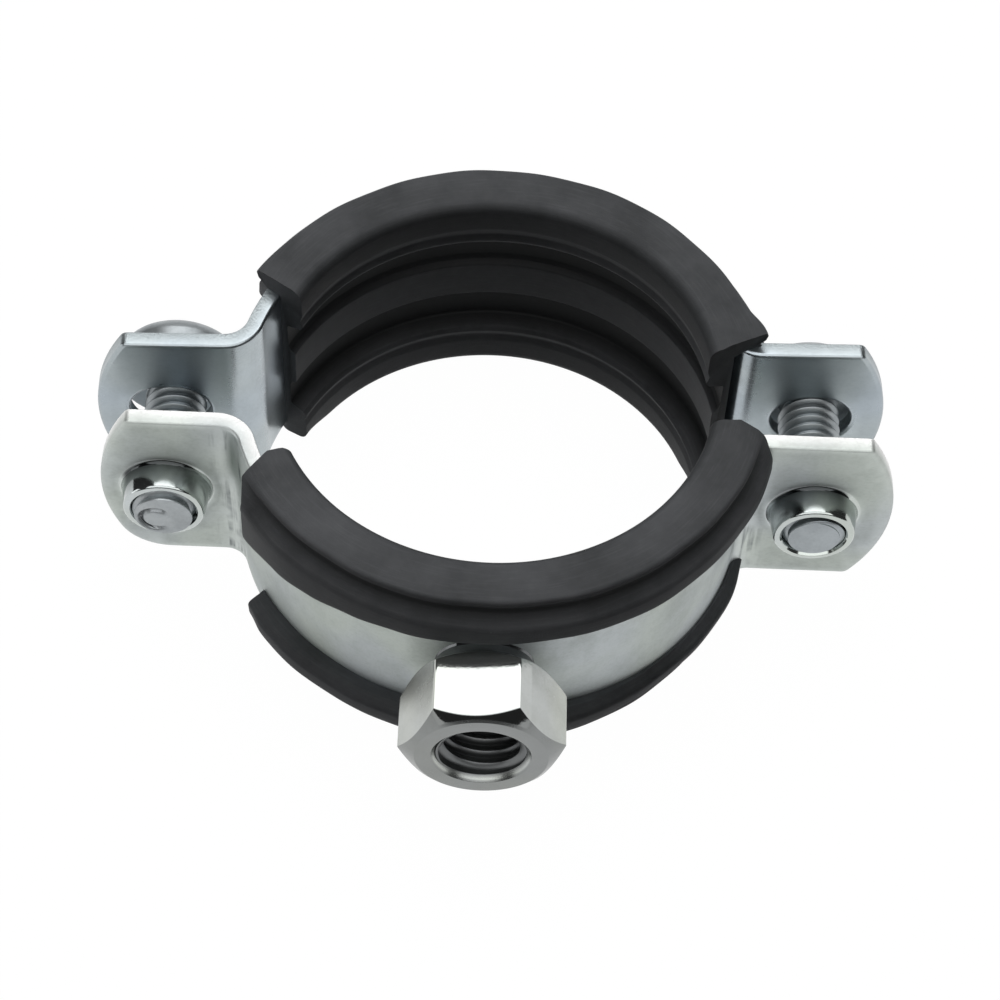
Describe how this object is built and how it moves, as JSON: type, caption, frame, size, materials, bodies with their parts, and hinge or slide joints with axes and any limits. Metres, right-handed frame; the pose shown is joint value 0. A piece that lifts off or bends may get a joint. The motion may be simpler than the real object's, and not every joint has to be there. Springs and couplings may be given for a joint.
{
  "type": "pipe clamp",
  "caption": "Two-part steel pipe clamp with ribbed rubber linings, closed by screws through its ears, with a threaded boss for a hanger rod.",
  "frame": {"origin": "centre of the pipe bore, half way up the strip", "axes": "+Z along the pipe, -Y out of the threaded boss, +X to the right as seen from the boss"},
  "size_m": [0.0755, 0.06, 0.024],
  "materials": {
    "zinc_steel": "bright zinc plate, slightly rolled grain",
    "boss_zinc": "zinc plate, turned and broached",
    "screw_zinc": "zinc plate, rolled thread",
    "rubber": "moulded EPDM, satin black"
  },
  "bodies": {
    "front_half": {"band_front": "zinc_steel", "lining_front": "rubber", "boss_nut": "boss_zinc"},
    "rear_half": {"band_rear": "zinc_steel", "lining_rear": "rubber"},
    "screw_left": {"screw_left": "screw_zinc"},
    "screw_right": {"screw_right": "screw_zinc"}
  },
  "joints": [
    {"name": "clamp_close", "type": "slide", "parent": "front_half", "child": "rear_half", "axis": [0, -1, 0], "range_m": [-0.003, 0.006]},
    {"name": "left_screw_turn", "type": "hinge", "parent": "rear_half", "child": "screw_left", "pos_m": [-0.03035, 0.0069, 0], "axis": [0, -1, 0], "range_deg": [-1081, 2161]},
    {"name": "right_screw_turn", "type": "hinge", "parent": "rear_half", "child": "screw_right", "pos_m": [0.03035, 0.0073, 0], "axis": [0, -1, 0], "range_deg": [-1081, 2161]}
  ],
  "couplings": [
    {"joint": "left_screw_turn", "follows": "clamp_close", "rad_per_m": 6283.2},
    {"joint": "right_screw_turn", "follows": "clamp_close", "rad_per_m": 6283.2}
  ]
}
